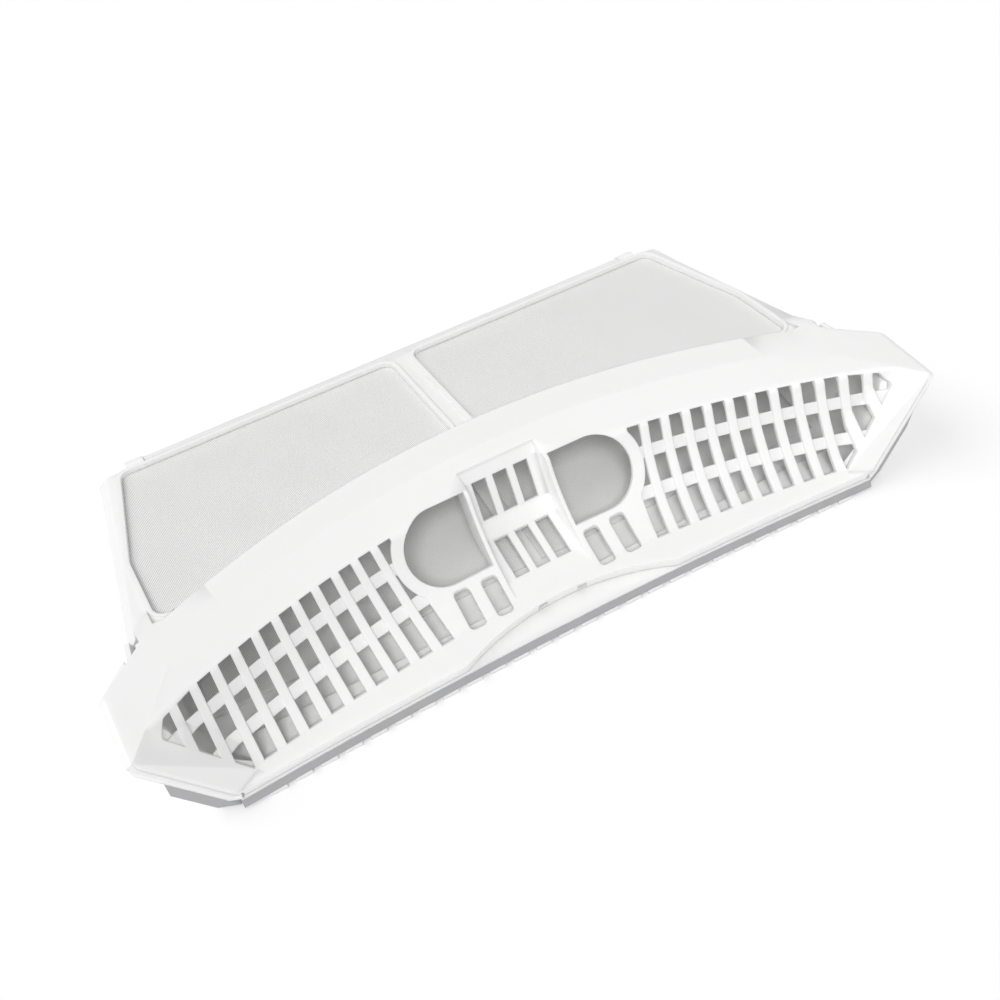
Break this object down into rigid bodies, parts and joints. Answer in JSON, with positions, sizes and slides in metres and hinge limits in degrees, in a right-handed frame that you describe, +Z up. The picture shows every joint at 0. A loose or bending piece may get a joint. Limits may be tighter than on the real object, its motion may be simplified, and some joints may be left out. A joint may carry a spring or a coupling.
{
  "type": "tumble dryer lint filter",
  "caption": "Hinged tumble dryer lint filter with mesh screens, a slotted concave grip face with finger holes and a sealing strip.",
  "frame": {"origin": "middle of the bounding box's bottom, where the filter lies on its rear half", "axes": "+X along the long front edge to the right, +Y from the grip face to the hinge, +Z up"},
  "size_m": [0.4, 0.1915, 0.0534],
  "materials": {
    "shell": "fine satin",
    "screen": "fine nylon mesh",
    "seal": "matte elastomer"
  },
  "bodies": {
    "rear_half": {"rear_shell": "shell", "rear_screen_left": "screen", "rear_screen_right": "screen", "flange_seal": "seal"},
    "front_half": {"front_shell": "shell", "front_screen_left": "screen", "front_screen_right": "screen"}
  },
  "joints": [
    {"name": "lid_hinge", "type": "hinge", "parent": "rear_half", "child": "front_half", "pos_m": [0, 0.0924, 0.0038], "axis": [-1, 0, 0], "range_deg": [0, 100]}
  ]
}
